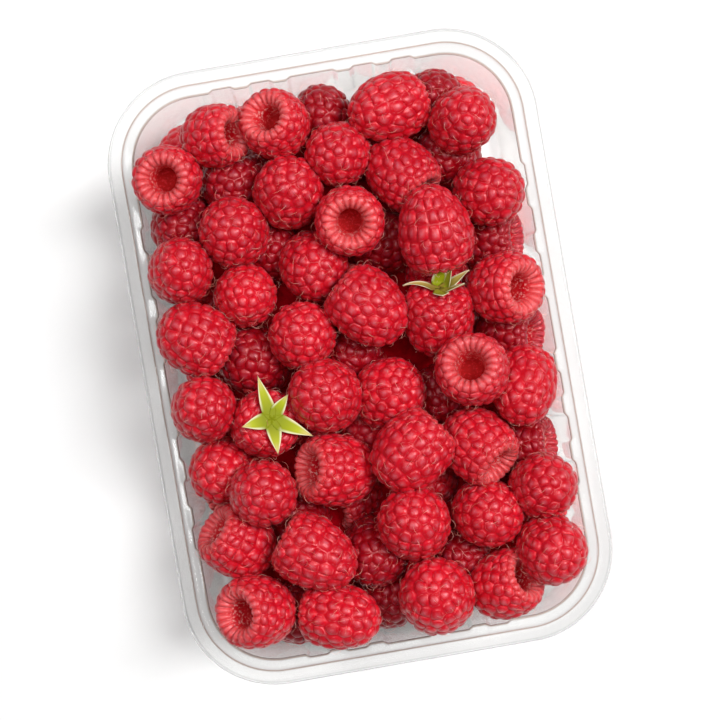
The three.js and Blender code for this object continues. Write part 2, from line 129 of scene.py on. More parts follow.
# Berries that show from above: x, y, height of the middle, width, length, tilt and heading of the
# tip. Tilt 0 has the tip up and 180 has the opening up; heading 0 is +X and 90 is +Y.
SHOWN = [
    (-32, 72.5, 41, 19.3, 19.5, 126, 175), (-13, 72.5, 42, 21, 20, 153, -40),
    (1, 74, 30, 19.8, 20, 20, 90), (20.5, 72, 41, 21, 24.4, 66, 190),
    (35.5, 73, 30, 19, 20, 15, 40), (42.5, 64.5, 42, 20, 21, 20, 30),
    (-48, 62, 41, 21.2, 20, 171, 10), (-29, 58.5, 30, 20.4, 21, 30, 200),
    (-12.5, 52.5, 42, 21.8, 23, 15, 60), (3.5, 61, 42, 20, 21, 15, 200),
    (21.5, 52.5, 41, 21.2, 22, 72, 125), (28.5, 34.5, 47, 23, 25.5, 78, 215),
    (46.5, 41.5, 43, 21, 22, 18, 330), (4, 40.5, 45, 21.4, 20, 172, 80),
    (-48, 48, 30, 19.6, 20, 30, 250), (-49, 34.5, 43.5, 20, 21, 12, 30),
    (-31, 43.5, 42, 21.1, 22, 14, 120), (-30.5, 24, 41, 19.5, 20, 10, 10),
    (-9, 29, 37, 21, 22, 22, 300), (5.5, 13.5, 45, 22.6, 24, 80, 312),
    (25, 7, 41, 21.7, 23, 132, 260), (45.5, 13, 42, 22, 21, 140, 168),
    (45.5, -1, 31, 20.4, 20, 120, 170), (32.5, -10, 48, 22.3, 21, 165, -70),
    (48, -17.5, 42, 20, 23.6, 52, 250), (-48, 14, 43, 21.8, 22.5, 72, 140),
    (-16, 9, 42, 20.8, 21, 12, 45), (-32, 4.5, 32, 21.6, 22, 35, 150),
    (-2.5, 1.5, 28, 19.9, 20, 20, 0), (-32, -15, 42, 21, 21, 162, 204),
    (-49, -7.5, 43.5, 20, 21.5, 12, 80), (-12.5, -9.5, 45, 22.3, 23, 14, 160),
    (7.5, -12.5, 40, 21.7, 22, 30, 20), (21.5, -16, 29, 20.4, 20, 15, 90),
    (10, -30.5, 46, 23, 24.5, 80, 215), (29.5, -32, 42, 21.6, 23, 100, 128),
    (43.5, -35, 30, 20.4, 21, 112, 175), (47.5, -47.5, 43, 20.2, 21, 16, 20),
    (-49, -27, 36, 20.6, 21, 18, 200), (-35.5, -36, 44, 20.6, 22, 10, 10),
    (-12, -32.5, 41, 22.2, 24.6, 98, -32), (-27, -45.5, 30, 20.4, 21, 25, 60),
    (7, -51.5, 43, 22.5, 24, 18, 90), (30.5, -52.5, 42, 21.2, 22, 14, 330),
    (46, -67.5, 43, 21, 22, 20, 300), (-47.5, -48.5, 42, 21.6, 22.4, 98, -48),
    (-22.5, -56, 45, 22.2, 24.5, 84, 322), (-5, -60, 35, 20.9, 22, 20, 250),
    (10.5, -74.5, 42, 23.2, 24, 18, 100), (31.5, -75.5, 40, 21, 22, 112, 188),
    (20, -65.5, 30, 19.8, 20, 15, 0), (-42.5, -70, 42, 22.2, 23, 142, -8),
    (-19, -75.5, 41, 20.4, 24, 66, 345), (-4, -75, 29, 19.8, 20, 15, 0),
    (-32, -74, 28, 19.4, 20, 15, 0), (36.5, 56.5, 30, 20.4, 21, 20, 150),
    (13.5, 33, 30, 20.4, 21, 20, 30), (44, 28.5, 30, 20.4, 21, 112, 178),
    (-21, 36.5, 29, 19.2, 20, 20, 90),
]
STAR_BERRY = 29
SIDE_BERRY = 20
# Tilt and heading of those that lie another way than their nearly round solids, as the photograph
# shows by their openings and narrow ends
SHOWN_LEANS = {
    10: (108, 125), 11: (70, 92), 35: (118, 128), 40: (124, 346), 45: (116, 318), 49: (130, 196),
}
# Berries whose tips are clearly conical
CONES = {3: 0.14, 11: 0.3, 19: 0.08, 46: 0.2}

# The berries stay between the tray's floor and the top of the heap's solid
LOWEST_BERRY = 0.5
HIGHEST_BERRY = 60.5

# A berry's surface, by the angle from its tip to the bottom of its hollow in degrees: radius as a
# share of half its width, and height along it as a share of its length
PROFILE_ANGLES = (0, 22, 45, 68, 90, 112, 130, 143, 153, 162, 171, 180)
PROFILE_RADII = (0, 0.44, 0.77, 0.95, 1.0, 0.95, 0.83, 0.66, 0.49, 0.4, 0.35, 0)
PROFILE_HEIGHTS = (0.5, 0.455, 0.31, 0.12, -0.10, -0.29, -0.42, -0.475, -0.41, -0.25, 0.0, 0.06)
# The same for a berry that still has its core and its calyx, in place of the last five
PLUGGED_RADII = (0.66, 0.5, 0.36, 0.2, 0)
PLUGGED_HEIGHTS = (-0.455, -0.47, -0.48, -0.485, -0.485)
# Rows of beads by that angle. The rim's beads are drawn out into flutes that run into the hollow.
BODY_ROWS = (18, 37, 56, 74, 91, 108, 123)
PLUGGED_ROWS = (140, 156, 170)
BEAD_PITCH = 3.85
FEWEST_BEADS = 5
RIM_ROW = 138
RIM_BEADS = 20
# How far a bead strays across its row and along it, and how much of that the rim's beads do
BEAD_TILT_PLAY = 3.4
BEAD_TURN_PLAY = 0.2
RIM_PLAY = 0.25
BEAD_RISE = 0.74
BEAD_UNEVENNESS = 0.16
# How round a bead is drawn, how close its circle is to its nearest border, and how slender it may be
BEAD_ROUNDING = 0.95
CIRCLE_TIGHTNESS = 0.65
SLENDER_SHARE = 0.6
# Features by the same angle: where each starts, and over how many degrees it comes in
RIM_SPAN = (125, 12)
RIDGE_SPAN = (RIM_ROW, 10)
FLUTE_SPAN = (122, 24)
HOLLOW_SPAN = (152, 24)
# How much lower the beads are on the rim and in the hollow, and how fast they sink into it
RIM_FLATNESS = 0.5
HOLLOW_FLATNESS = 0.9
HOLLOW_ONSET = 1.7
# How strong the painted highlight on the flutes is, how late it comes in, and how much weaker it is in
# their grooves, a painted shade
FLUTE_HIGHLIGHT_STRENGTH = 0.6
FLUTE_ONSET = 1.3
GROOVE_SHADE = 0.6
# Slow unevenness of a berry: how strong, how many waves and how tight they are
BERRY_UNEVENNESS = 0.035
LUMP_WAVES = 4
LUMP_TIGHTNESS = 2.2
# A cone narrows from this share of the length below the middle
CONE_START = 0.1
# The seed of each berry's own draws, and the most that a free turn is, in radians
BERRY_SEED = 700
FREE_TURN = 6.28
# How fine a berry is: parts of each bead's border, and how far out its inner rings lie
FINE_BEADS = SimpleNamespace(parts=2, rings=(0.94, 0.76, 0.42))
PLAIN_BEADS = SimpleNamespace(parts=1, rings=(0.85, 0.5))

# The middle of the heap, a dark red shape painted as the shade deep between the berries: inset from the
# rim, height and rib share of each ring
CORE_LEVELS = [(27, 25, 0), (24, 22, 0), (21.5, 16, 0), (21.5, 9, 0), (25, 6, 0)]

# How bright a berry's skin is painted by its place in the heap: deep in it, lifted against the shade
# there; under its top layer, in a painted shade; and in that layer, with a random tone
UPPER_Z = FINE_Z + 3
HIDDEN_SHADE = 0.95
UNDER_SHADE = 0.27
UPPER_TONES = (0.75, 1.0)

# Hairs: how many on a berry, length, thickness at the root, and steps along each
HAIR_COUNT = 36
HAIR_LENGTH = (2.0, 4.6)
HAIR_RADIUS = 0.052
HAIR_STEPS = 5
HAIR_SIDES = 3
# How far below a berry's middle they start, and how they bend, rise, arch, lie back, droop and taper
HAIR_ZONE = 3
HAIR_BEND = 0.5
HAIR_LIFT = (0.125, 0.4)
HAIR_ARCH = 2.4
HAIR_REACH = 0.8
HAIR_DROOP = 0.8
HAIR_TAPER = 0.6
# No hair follows this direction
HAIR_SIDE = (0.31, 0.17, 0.93)

# Leaves: how far their edges cup up, and how far the hub lies from its berry's middle by its length
LEAF_THICKNESS = 0.5
HUB_RADIUS = 2.4
LEAF_CUP = 0.35
LEAF_REST = 0.49
# A sepal's width follows a bulge from this share of it on
SEPAL_START = 0.5
SEPAL_FULLNESS = 1.15
SEPAL_STEPS = 12
SEPAL_ROWS = 14
SEPAL_COLUMNS = 8
# Each sepal runs on under the hub by this share, and thins towards its edges and its tip
SEPAL_ROOT = 0.25
EDGE_THINNING = 0.6
TIP_THINNING = 0.5
# Heading from the hub, length, width, first lift and curl of each sepal
STAR_SEPALS = [
    (-91, 10.8, 4.6, 4, -6), (-32, 13.4, 4.9, 4, -4), (48, 9, 4, 16, 10), (100, 13.6, 4.4, 4, 8),
    (186, 9.6, 4.8, 5, -8),
]
SIDE_SEPALS = [
    (-92, 6.2, 4.8, 22, 10), (-37, 10, 2.6, 40, 0), (8, 10.6, 4.2, 34, 0), (22, 10.4, 3.4, 74, 4),
    (76, 9.2, 5.2, 78, 4), (168, 11.4, 2.6, 36, -72),
]
# How far each sepal has dried, from green to brown, in the same order
STAR_DRY = (0.1, 0.0, 0.0, 0.05, 0.05)
SIDE_DRY = (0.5, 0.8, 0.85, 0.25, 0.0, 1.0)

# Camera: straight above the tray, turned a little, as the photograph was taken
CAMERA_HEIGHT = 730
CAMERA_TURN = 9.8
CAMERA_SHIFT = 1.05
CAMERA_LENS = 114.9
CAMERA_SENSOR = 36

# Floor and light, in metres and watts: each lamp's place, size and power
FLOOR_LOOK = {"Base Color": (0.715, 0.715, 0.715, 1), "Roughness": 0.9}
FLOOR_REACH = 3.0
FLOOR_DROP = 0.0003
SKY_STRENGTH = 0.16
LAMPS = {"key": ((1.8, 0.38, 3.0), 1.6, 120), "fill": ((-0.5, 0.6, 2.8), 2.4, 50)}

# Berry colours, as places along a value and the colour there, where a single number is a grey.
# Along a bead, from the middle of its top to its crease: the top is painted paler as a highlight, and the
# crease a little brighter red against its shade
SKIN_AND_PAINTED_LIGHT_COLORS = [
    (0.0, (0.64, 0.13, 0.15)), (0.35, (0.59, 0.045, 0.062)), (0.68, (0.56, 0.002, 0.015)),
    (0.9, (0.6, 0.008, 0.022)), (1.0, (0.6, 0.004, 0.016)),
]
BEAD_TONES = [(0.0, (0.84, 0.62, 0.72)), (1.0, 1.0)]
# The painted shade and tone, from the depth of the heap to its top layer
PAINTED_DEPTH_SHADES = [(0.0, (0.3, 0.06, 0.1)), (0.3, (0.56, 0.3, 0.42)), (0.75, (0.88, 0.8, 0.86)), (1.0, 1.0)]
# Pale arcs near the crease, in patches: fuzz along each bead's border, partly a painted highlight
ARC_BAND = [(0.74, 0.0), (0.84, 1.0), (0.88, 1.0), (0.94, 0.0)]
ARC_PATCHES = [(0.5, 0.0), (0.64, 0.45)]
ARC_FUZZ_AND_HIGHLIGHT_COLOR = (0.78, 0.22, 0.24)
# Fine pale down, mostly on the tops of the beads, partly its own colour and partly a painted sheen
DOWN_SPECKS = [(0.52, 0.0), (0.74, 0.45)]
DOWN_AND_SHEEN_ON_TOPS = [(0.3, 1.0), (0.8, 0.1)]
DOWN_AND_SHEEN_COLOR = (0.74, 0.22, 0.24)
# A painted highlight on the rim's flutes
FLUTE_HIGHLIGHT_COLOR = (0.74, 0.16, 0.15)
# The hollow: its specks, the painted shade that darkens it with depth, and where it takes over from the
# skin
HOLLOW_SPECKS = [(0.46, (0.6, 0.0, 0.01)), (0.54, (0.6, 0.02, 0.03)), (0.62, (0.85, 0.4, 0.37))]
HOLLOW_PAINTED_SHADE = [(0.35, 1.0), (0.8, (0.55, 0.03, 0.05))]
HOLLOW_SHARE = [(0.05, 0.0), (0.4, 1.0)]
SKIN_ROUGHNESS = [(0.3, 0.3), (0.8, 0.85)]
# Painted shade deep in the heap, seen through the gaps
CORE_PAINTED_SHADE_COLORS = [(0.35, (0.24, 0.0, 0.003)), (0.65, (0.5, 0.0, 0.008))]
HAIR_COLORS = [(0.4, (0.7, 0.2, 0.14)), (0.6, (0.95, 0.52, 0.42))]

# Leaf colours from the hub to the tip, and the pale border, from the middle line to the edge
FRESH_LEAF = [
    (0.0, (0.2, 0.23, 0.002)), (0.3, (0.28, 0.31, 0.003)), (0.55, (0.36, 0.39, 0.012)),
    (0.8, (0.5, 0.43, 0.13)), (1.0, (0.58, 0.4, 0.22)),
]
DRIED_LEAF = [(0.0, (0.2, 0.13, 0.02)), (0.5, (0.36, 0.24, 0.06)), (1.0, (0.4, 0.26, 0.13))]
LEAF_BORDER = [(0.6, 0.0), (0.95, 0.9)]
LEAF_BORDER_START = [(0.02, 0.0), (0.3, 1.0)]
LEAF_BORDER_COLOR = (0.76, 0.72, 0.5)

# Sheet colours: the flat parts, and the upright wall darker and warmer with a painted shade and a painted
# reflection of the red berries, and the painted refraction lines along its folds
SHEET_AND_PAINTED_WALL_COLORS = [(0.0, (0.865, 0.868, 0.863)), (1.0, (0.855, 0.838, 0.824))]
PAINTED_LINE_COLORS = [
    (0.15, 1.0), (0.4, (0.84, 0.85, 0.85)), (0.6, (0.84, 0.8, 0.78)), (0.95, (0.62, 0.48, 0.42)),
]
SHADOW_COLOR = (0.97, 0.97, 0.97, 1)

# Noises: how fine each is, in how much detail and how rough
NOISES = {
    "arcs": (700, 2, 0.5), "down": (2600, 3, 0.7), "hollow": (1300, 2, 0.6), "skin": (2200, 3, 0.6),
    "core": (260, 2, 0.5), "hair": (300, 2, 0.5), "leaf": (1500, 2, 0.5), "sheet": (60, 2, 0.5),
}

# What is the same all over each surface
BERRY_LOOK = {
    "Specular IOR Level": 0.5, "Specular Tint": (1.0, 0.52, 0.54, 1), "Subsurface Weight": 0.6,
    "Subsurface Radius": (1.0, 0.1, 0.08), "Subsurface Scale": 0.0025, "Sheen Weight": 0.02,
    "Sheen Roughness": 0.4, "Sheen Tint": (1.0, 0.5, 0.5, 1),
}
CORE_LOOK = {"Roughness": 0.9, "Specular IOR Level": 0.05}
HAIR_LOOK = {"Roughness": 0.45}
LEAF_LOOK = {"Roughness": 0.65, "Specular IOR Level": 0.2}
SHEET_LOOK = {"Roughness": 0.1, "IOR": 1.25, "Transmission Weight": 1.0}


def seeded_random(seed):
    """A small number maker that gives the same draws as the part's source."""
    factor, limit = 16807, 2147483647
    while True:
        seed = seed * factor % limit
        yield seed / limit


def between(limits, share):
    return limits[0] + (limits[1] - limits[0]) * share


# Heap: the same settling as the part's source

def tip_direction(tilt, heading):
    lean, turn = radians(tilt), radians(heading)
    return (sin(lean) * cos(turn), sin(lean) * sin(turn), cos(lean))


def settling_outline(width, length, tilt, fine):
    tip = [(0, 0.5), (0.52, 0.42), (0.87, 0.18), (1, -0.08)]
    opening = [(0.9, -0.33), (0.62, -0.48), (0.36, -0.38), (0.28, 0.05), (0, 0.08)]
    closed = [(0.86, -0.34), (0.45, -0.48), (0, -0.48)]
    rough = [(0, 0.5), (0.66, 0.34), (1, -0.02), (0.7, -0.42), (0, -0.48)]
    shape = tip + (opening if tilt > OPEN_TILT else closed) if fine else rough
    return [(across * width / 2, along * length) for across, along in shape]


def make_berry(x, y, z, width, length, tilt, heading, shown):
    return SimpleNamespace(
        x=x, y=y, z=z, width=width, length=length, tilt=tilt, shown=shown,
        ease=SHOWN_EASE if shown else 1, tip=tip_direction(tilt, heading),
        outline=settling_outline(width, length, tilt, bool(shown) and z > FINE_Z),
        radius=(width + length) / 4,
    )


def wall_offset(berry):
    """How far inside the wall face, and how far above the ledge, a berry lies."""
    x = max(abs(berry.x) - REACH_X, 0)
    y = max(abs(berry.y) - REACH_Y, 0)
    wall_z = min(berry.z, LEDGE_Z)
    slope = (WALL_FOOT_INSET - LEDGE_INSET) / (LEDGE_Z - WALL_FOOT_Z)
    inset = LEDGE_INSET + RIB_DEPTH + slope * (LEDGE_Z - wall_z)
    out = sqrt(x * x + y * y)
    return x, y, out, RIM_CORNER_RADIUS - inset - out, berry.z - wall_z


def extent(berry, x, y, z):
    """How far a berry reaches from its middle along a unit direction."""
    along = berry.tip[0] * x + berry.tip[1] * y + berry.tip[2] * z
    across = sqrt(max(1 - along * along, 0))
    return max(px * across + py * along for px, py in berry.outline)


def keep_in_tray(berry):
    berry.z = max(berry.z, extent(berry, 0, 0, -1) + SHEET + GAP)
    wall_x, wall_y, out, inward, up = wall_offset(berry)
    if out == 0:
        return
    distance = sqrt(inward * inward + up * up)
    out_x = copysign(1, berry.x) * wall_x / out
    out_y = copysign(1, berry.y) * wall_y / out
    level, drop = inward / distance, up / distance
    push = extent(berry, out_x * level, out_y * level, -drop) + GAP - distance
    if push <= 0:
        return
    berry.x -= out_x * level * push
    berry.y -= out_y * level * push
    berry.z += drop * push


def press_apart(first, second):
    x, y, z = second.x - first.x, second.y - first.y, second.z - first.z
    distance = sqrt(x * x + y * y + z * z)
    if distance > first.radius + second.radius + REACH_SPARE:
        return
    to_x, to_y, to_z = x / distance, y / distance, z / distance
    reach = DENT * (extent(first, to_x, to_y, to_z) + extent(second, -to_x, -to_y, -to_z))
    push = (reach - distance) / 2
    if push <= 0:
        return
    for berry, sign in ((first, -1), (second, 1)):
        berry.x += sign * to_x * push * berry.ease
        berry.y += sign * to_y * push * berry.ease
        berry.z += sign * to_z * push


def settle(berries):
    for _ in range(SETTLE_PASSES):
        for first, second in combinations(berries, 2):
            press_apart(first, second)
        for berry in berries:
            if berry.shown:
                berry.x += (berry.shown[0] - berry.x) * PHOTO_PULL
                berry.y += (berry.shown[1] - berry.y) * PHOTO_PULL
                berry.z += (berry.shown[2] - berry.z) * HEIGHT_PULL
            else:
                berry.z -= SINK_STEP
            keep_in_tray(berry)


def separation(a, b):
    return sqrt((a.x - b.x) ** 2 + (a.y - b.y) ** 2 + (a.z - b.z) ** 2)


def squeezed(berry, berries):
    return any(
        other is not berry and separation(other, berry) < TIGHTEST * (other.radius + berry.radius)
        for other in berries
    )


def hidden_berries(shown, draws):
    hidden = []
    for layer, z in enumerate(HIDDEN_LAYERS):
        for row in range(-HIDDEN_ROWS, HIDDEN_ROWS + 1):
            for column in range(-HIDDEN_COLUMNS, HIDDEN_COLUMNS + 1):
                shift = (abs(row) + layer) % 2 / 2
                x = (column + shift) * HIDDEN_PITCH[0] + (next(draws) - 0.5) * HIDDEN_JITTER
                y = row * HIDDEN_PITCH[1] + (next(draws) - 0.5) * HIDDEN_JITTER
                width = between(HIDDEN_SIZE, next(draws))
                length = width * between(HIDDEN_STRETCH, next(draws))
                tilt = 180 * next(draws)
                berry = make_berry(x, y, z, width, length, tilt, 360 * next(draws), None)
                room = wall_offset(berry)[3] > berry.radius * WALL_ROOM
                if room and all(separation(other, berry) > HIDDEN_CLEARANCE for other in shown):
                    hidden.append(berry)
    return hidden


def settled_heap():
    draws = seeded_random(HEAP_SEED)
    shown = [make_berry(*entry, entry[:3]) for entry in SHOWN]
    packed = shown + hidden_berries(shown, draws)
    settle(packed)
    berries = [berry for berry in packed if berry.shown or not squeezed(berry, packed)]
    settle(berries)
    for index, lean in SHOWN_LEANS.items():
        berries[index].tip = tip_direction(*lean)
    return berries


# Berries

def smooth_curve(knots, values, samples):
    """A smooth line through the values at the knots, sampled at even steps of one degree."""
    knots, values = np.array(knots, float), np.array(values, float)
    slopes = np.gradient(values, knots)
    at = np.clip(np.searchsorted(knots, samples, side="right") - 1, 0, len(knots) - 2)
    step = knots[at + 1] - knots[at]
    t = (samples - knots[at]) / step
    start = (2 * t**3 - 3 * t**2 + 1) * values[at] + (t**3 - 2 * t**2 + t) * step * slopes[at]
    end = (3 * t**2 - 2 * t**3) * values[at + 1] + (t**3 - t**2) * step * slopes[at + 1]
    return start + end


ANGLE_SAMPLES = np.arange(0, 181.0)
OPEN_SHAPE = [
    smooth_curve(PROFILE_ANGLES, knots, ANGLE_SAMPLES) for knots in (PROFILE_RADII, PROFILE_HEIGHTS)
]
PLUGGED_SHAPE = [
    smooth_curve(PROFILE_ANGLES, knots[:-5] + ends, ANGLE_SAMPLES)
    for knots, ends in ((PROFILE_RADII, PLUGGED_RADII), (PROFILE_HEIGHTS, PLUGGED_HEIGHTS))
]


def bead_rows(width, plugged):
    """Each row's angle from the tip and how many beads it has."""
    radii = PLUGGED_SHAPE[0] if plugged else OPEN_SHAPE[0]
    rows = [(0, 1)]
    for angle in BODY_ROWS + (PLUGGED_ROWS if plugged else ()):
        around = pi * width * np.interp(angle, ANGLE_SAMPLES, radii)
        rows.append((angle, max(FEWEST_BEADS, round(around / BEAD_PITCH))))
    return rows if plugged else [*rows, (RIM_ROW, RIM_BEADS)]


def bead_centres(width, plugged, rng):
    """Directions of the beads on a unit ball, in staggered rows and each a little off its place,
    and the headings of the last row's."""
    centres = []
    for angle, count in bead_rows(width, plugged):
        play = 1.0 if angle < RIM_ROW or plugged else RIM_PLAY
        turn = rng.uniform(0, 2 * pi)
        headings = []
        for bead in range(count):
            tilt = radians(angle + play * rng.uniform(-BEAD_TILT_PLAY, BEAD_TILT_PLAY))
            shift = play * rng.uniform(-BEAD_TURN_PLAY, BEAD_TURN_PLAY)
            heading = turn + (bead + shift) * 2 * pi / count
            headings.append(heading)
            flat = sin(tilt)
            centres.append((flat * cos(heading), flat * sin(heading), cos(tilt)))
    centres.append((0, 0, -1))
    return centres, np.array(headings)


def bead_borders(centres):
    """Corners between neighbouring beads on the ball, and each bead's corners in order round it."""
    hull = bmesh.new()
    beads = [hull.verts.new(centre) for centre in centres]
    bmesh.ops.convex_hull(hull, input=beads)
    hull.faces.index_update()
    corners = []
    for face in hull.faces:
        face.normal_update()
        outward = 1 if face.normal.dot(face.calc_center_median()) > 0 else -1
        corners.append(tuple(face.normal * outward))
    rings = []
    for bead in beads:
        centre = bead.co.normalized()
        side = centre.orthogonal().normalized()
        other = centre.cross(side)
        found = [face.index for face in bead.link_faces]
        found.sort(key=lambda i: atan2(other.dot(Vector(corners[i])), side.dot(Vector(corners[i]))))
        rings.append(found)
    hull.free()
    return np.array(corners), rings


class BeadMesh:
    """Points on the unit ball, how far out in its bead each one lies, its bead, and triangles."""

    def __init__(self, corners):
        self.corners = corners
        self.directions = [tuple(corner) for corner in corners]
        self.outness = [1.0] * len(corners)
        self.owner = [0] * len(corners)
        self.borders = {}
        self.triangles = []

    def add(self, places, outness, bead):
        first = len(self.directions)
        self.directions.extend(map(tuple, places))
        self.outness.extend([outness] * len(places))
        self.owner.extend([bead] * len(places))
        return list(range(first, len(self.directions)))

    def border(self, a, b, parts):
        """The points between two corners, in order from the first, shared by both beads."""
        low, high = min(a, b), max(a, b)
        if (low, high) not in self.borders:
            start, end = self.corners[low], self.corners[high]
            shares = [part / parts for part in range(1, parts)]
            places = [start * (1 - share) + end * share for share in shares]
            self.borders[low, high] = self.add(places, 1.0, 0)
        made = self.borders[low, high]
        return made if a == low else made[::-1]

    def band(self, outer, inner):
        for i in range(len(outer)):
            j = (i + 1) % len(outer)
            self.triangles += [(outer[i], outer[j], inner[j]), (outer[i], inner[j], inner[i])]

    def cap(self, outer, middle):
        for i in range(len(outer)):
            self.triangles.append((outer[i], outer[(i + 1) % len(outer)], middle))


def rounded_offsets(offsets):
    """A bead's border as seen from its middle, drawn towards a circle unless it is slender."""
    reach = np.linalg.norm(offsets, axis=1)[:, None]
    circle_reach = (1 - CIRCLE_TIGHTNESS) * reach.mean() + CIRCLE_TIGHTNESS * reach.min()
    circle = offsets / reach * circle_reach
    share = BEAD_ROUNDING * min(max(2 * reach.min() / reach.max() - SLENDER_SHARE, 0), 1)
    return offsets * (1 - share) + circle * share


def bead_mesh(centres, detail):
    """A closed mesh of beads on the unit ball."""
    corners, rings = bead_borders(centres)
    beads = BeadMesh(corners)
    for bead, ring in enumerate(rings):
        outer = []
        for a, b in zip(ring, ring[1:] + ring[:1]):
            outer += [a, *beads.border(a, b, detail.parts)]
        centre = np.array(centres[bead])
        offsets = rounded_offsets(np.array([beads.directions[i] for i in outer]) - centre)
        for out in detail.rings:
            inner = beads.add(centre + offsets * out, out, bead)
            beads.band(outer, inner)
            outer = inner
        beads.cap(outer, beads.add([centre], 0.0, bead)[0])
    return beads


def lumps(directions, rng):
    """Slow unevenness of a berry, from a few waves over it."""
    total = np.zeros(len(directions))
    for _ in range(LUMP_WAVES):
        wave = rng.normal(size=3) * LUMP_TIGHTNESS
        total += np.sin(directions @ wave + rng.uniform(0, FREE_TURN))
    return total / LUMP_WAVES


def fade_in(angle, span):
    """From 0 to 1 over a span of degrees, given as its start and its width."""
    return np.clip((angle - span[0]) / span[1], 0, 1)


def along_profile(curve, angle, scale):
    """A profile curve's value and its slope at some angles."""
    value = np.interp(angle, ANGLE_SAMPLES, curve) * scale
    return value, np.interp(angle, ANGLE_SAMPLES, np.gradient(curve)) * scale


def rim_ridges(directions, headings):
    """From 0 on the line of a flute's top to 1 in the groove between two flutes."""
    around = np.arctan2(directions[:, 1], directions[:, 0])[:, None] - headings[None]
    apart = np.abs((around + pi) % (2 * pi) - pi).min(axis=1)
    return np.clip(apart * len(headings) / pi, 0, 1)


def placed_points(berry, directions, radius, height, rng):
    """A berry's points in the part's frame, from the radius and height of each direction."""
    flat = np.maximum(np.hypot(directions[:, 0], directions[:, 1]), 1e-9)
    round_x, round_y = directions[:, 0] / flat, directions[:, 1] / flat
    local = np.stack([radius * round_x, radius * round_y, height], axis=1)
    upright = Vector(berry.tip).to_track_quat("Z", "Y").to_matrix()
    turn = upright @ Matrix.Rotation(rng.uniform(0, FREE_TURN), 3, "Z")
    return local @ np.array(turn).T + np.array([berry.x, berry.y, berry.z])


# Painted shade for berries under the top layer, a lifted level for hidden ones, and a random tone for the
# top layer's
def tone_and_painted_shade(berry, rng):
    level = rng.uniform(*UPPER_TONES)
    if berry.z >= UPPER_Z:
        return level
    return UNDER_SHADE if berry.shown else HIDDEN_SHADE


def berry_surface(berry, detail, cone, plugged, rng):
    """Points in the part's frame, triangles and the values that the berry material reads."""
    radius_curve, height_curve = PLUGGED_SHAPE if plugged else OPEN_SHAPE
    centres, rim_headings = bead_centres(berry.width, plugged, rng)
    beads = bead_mesh(centres, detail)
    directions = np.array(beads.directions)
    directions /= np.linalg.norm(directions, axis=1)[:, None]
    angle = np.degrees(np.arccos(np.clip(directions[:, 2], -1, 1)))

    is_open = 0 if plugged else 1
    rim, inward, hollow = (fade_in(angle, span) * is_open for span in (RIM_SPAN, RIDGE_SPAN, HOLLOW_SPAN))
    outness = np.array(beads.outness) * (1 - inward) + rim_ridges(directions, rim_headings) * inward
    sunk = (HOLLOW_FLATNESS - RIM_FLATNESS) * np.clip(hollow * HOLLOW_ONSET, 0, 1)
    strength = 1 - RIM_FLATNESS * rim - sunk
    tone = rng.uniform(-1, 1, len(centres))[beads.owner]
    dome = BEAD_RISE * (1 + BEAD_UNEVENNESS * tone) * np.sqrt(np.maximum(1 - outness**2, 0))
    lift = dome * strength

    length = berry.length - BEAD_RISE
    radius, slope_r = along_profile(radius_curve, angle, berry.width / 2 - BEAD_RISE)
    height, slope_h = along_profile(height_curve, angle, length)
    steep = np.maximum(np.hypot(slope_r, slope_h), 1e-9)
    uneven = 1 + BERRY_UNEVENNESS * lumps(directions, rng)
    taper = 1 - cone * np.clip(height / length + CONE_START, 0, 1)
    radius = radius * uneven * taper - slope_h / steep * lift
    height = height * uneven + slope_r / steep * lift

    points = placed_points(berry, directions, radius, height, rng)
    # Painted highlight on the flutes, weaker in their grooves as a painted shade
    pale = FLUTE_HIGHLIGHT_STRENGTH * fade_in(angle, FLUTE_SPAN) ** FLUTE_ONSET
    flute_highlight = pale * (1 - hollow) * (1 - GROOVE_SHADE * outness) * is_open
    # Painted shade by depth in the heap, or the top layer's random tone
    tone_and_depth_shade = np.full(len(points), tone_and_painted_shade(berry, rng))
    values = {"crease": outness, "tone": tone, "hollow": hollow, "tone_and_depth_shade": tone_and_depth_shade, "flute_highlight": flute_highlight}
    return points, np.array(beads.triangles), values


def new_object(name, data):
    made = bpy.data.objects.new(name, data)
    bpy.context.scene.collection.objects.link(made)
    return made


def piece_from_arrays(name, points, faces, values, material, slot, node):
    """A smooth mesh piece from millimetre points, riding on the part and standing for a CAD node."""
    mesh = bpy.data.meshes.new(name)
    mesh.vertices.add(len(points))
    mesh.vertices.foreach_set("co", (np.asarray(points) * MM).astype(np.float32).ravel())
    corners = np.asarray(faces, dtype=np.int32)
    mesh.loops.add(corners.size)
    mesh.loops.foreach_set("vertex_index", corners.ravel())
    mesh.polygons.add(len(corners))
    mesh.polygons.foreach_set("loop_start", np.arange(0, corners.size, corners.shape[1], dtype=np.int32))
    mesh.update(calc_edges=True)
    mesh.validate()
    mesh.shade_smooth()
    for key, numbers in values.items():
        attribute = mesh.attributes.new(key, "FLOAT", "POINT")
        attribute.data.foreach_set("value", np.asarray(numbers, dtype=np.float32))
    mesh.materials.append(material)
    piece = new_object(name, mesh)
    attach(piece, "root")
    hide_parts(node)


def joined(surfaces):
    """Several surfaces as one: points, faces and values."""
    points, faces, values, start = [], [], {}, 0
    for part_points, part_faces, part_values in surfaces:
        points.append(part_points)
        faces.append(np.asarray(part_faces) + start)
        start += len(part_points)
        for key, numbers in part_values.items():
            values.setdefault(key, []).append(numbers)
    values = {key: np.concatenate(numbers) for key, numbers in values.items()}
    return np.concatenate(points), np.concatenate(faces), values


